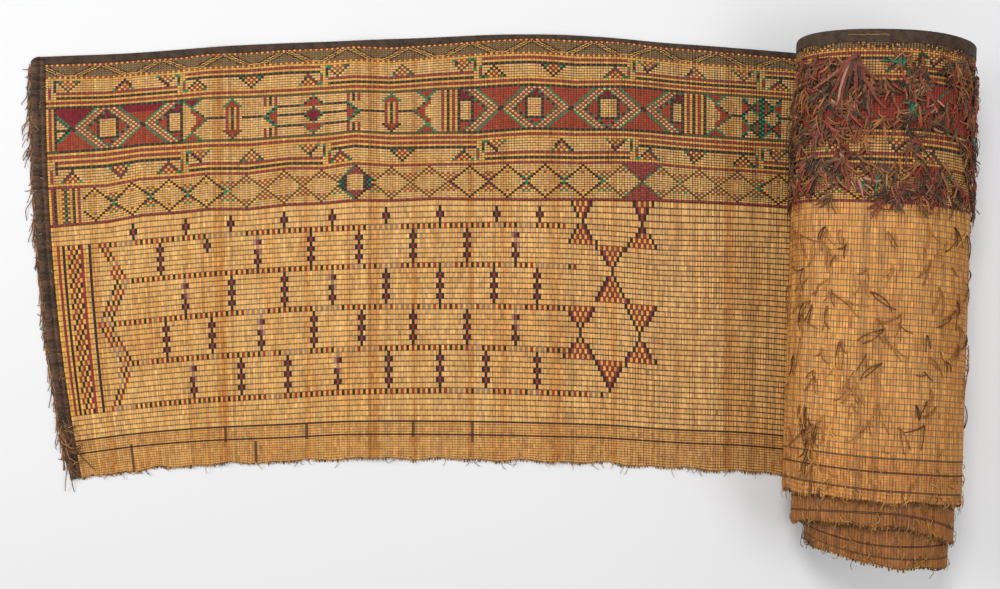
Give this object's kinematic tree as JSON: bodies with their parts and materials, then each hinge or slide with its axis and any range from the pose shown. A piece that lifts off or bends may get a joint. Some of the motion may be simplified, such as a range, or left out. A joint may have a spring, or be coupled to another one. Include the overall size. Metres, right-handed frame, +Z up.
{
  "type": "tuareg mat",
  "caption": "Long mat of reeds woven with leather thongs, one end lying flat and patterned, the rest wound into a loose roll that shows its shaggy back.",
  "frame": {"origin": "on the floor, under the middle of the whole mat's box", "axes": "+X along the mat from its leather-wrapped end towards the roll, +Y along the reeds towards the leather-bound edge, +Z up"},
  "size_m": [2.2894, 1.2688, 0.3486],
  "materials": {
    "woven_reed": "dry reed with thongs woven across it, matt with a faint sheen",
    "dark_leather": "worn, matt",
    "brown_thong": "dry, matt",
    "dyed_leather": "dry, matt, dyed"
  },
  "bodies": {
    "root": {"mat": "woven_reed", "top_binding": "dark_leather", "end_binding": "dark_leather", "end_fringe": "brown_thong", "tuft_row_1": "dyed_leather", "tuft_row_2": "dyed_leather", "tuft_row_3": "dyed_leather", "tuft_row_4": "dyed_leather", "tuft_row_5": "dyed_leather", "tuft_row_6": "dyed_leather"}
  },
  "joints": []
}
